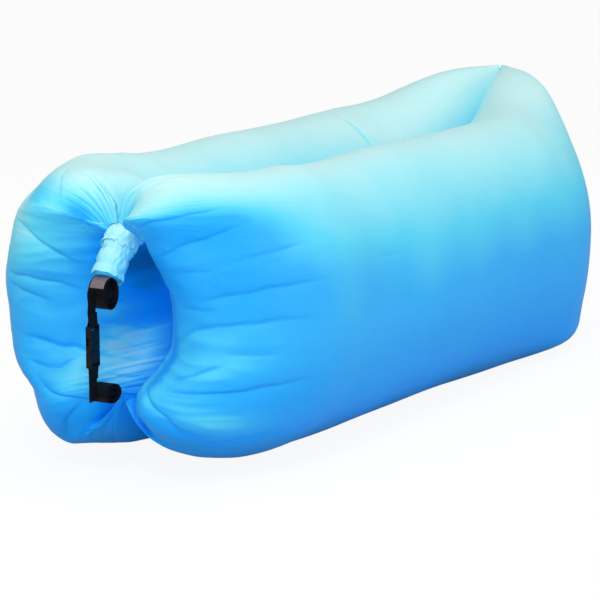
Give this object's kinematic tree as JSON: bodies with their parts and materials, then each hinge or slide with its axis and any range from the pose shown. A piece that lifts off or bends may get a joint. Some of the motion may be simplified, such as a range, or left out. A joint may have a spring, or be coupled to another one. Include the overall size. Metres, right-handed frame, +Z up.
{
  "type": "inflatable air lounger",
  "caption": "Self-standing lounger of air-filled cloth tubes with a seat valley between them, closed by a rolled mouth and a buckled strap.",
  "frame": {"origin": "middle of the bounding box's base, on the ground between the two tubes", "axes": "+X along the lounger from the rolled mouth to the head end, +Y across it to the left tube, +Z up"},
  "size_m": [1.789, 0.7012, 0.6133],
  "materials": {
    "tube_cloth": "thin woven polyester, azure, soft sheen",
    "mouth_cloth": "the same cloth, gathered and rolled, pale azure",
    "liner_film": "thin translucent film",
    "stiffener_strip": "plain flat strip",
    "webbing": "black woven tape",
    "buckle_plastic": "black moulded plastic, satin"
  },
  "bodies": {
    "lounger": {"left_side_tube": "tube_cloth", "right_side_tube": "tube_cloth", "left_air_liner": "liner_film", "right_air_liner": "liner_film", "seat_seam_tape": "tube_cloth", "head_seam_binding": "tube_cloth", "mouth_roll": "mouth_cloth", "mouth_stiffener": "stiffener_strip", "upper_end_webbing": "webbing", "lower_end_webbing": "webbing", "upper_strap": "webbing", "lower_strap": "webbing", "buckle_socket": "buckle_plastic"},
    "plug": {"buckle_plug": "buckle_plastic"},
    "front_prong": {"buckle_front_prong": "buckle_plastic"},
    "rear_prong": {"buckle_rear_prong": "buckle_plastic"}
  },
  "joints": [
    {"name": "buckle_release", "type": "slide", "parent": "lounger", "child": "plug", "axis": [0, 0, -1], "range_m": [0, 0.024], "deforming": ["lower_strap"]},
    {"name": "front_prong_squeeze", "type": "hinge", "parent": "plug", "child": "front_prong", "pos_m": [-0.8885, 0, 0.266], "axis": [0, 1, 0], "range_deg": [0, 8], "stiffness_Nm_per_rad": 0.4},
    {"name": "rear_prong_squeeze", "type": "hinge", "parent": "plug", "child": "rear_prong", "pos_m": [-0.8685, 0, 0.266], "axis": [0, -1, 0], "range_deg": [0, 8], "stiffness_Nm_per_rad": 0.4}
  ]
}
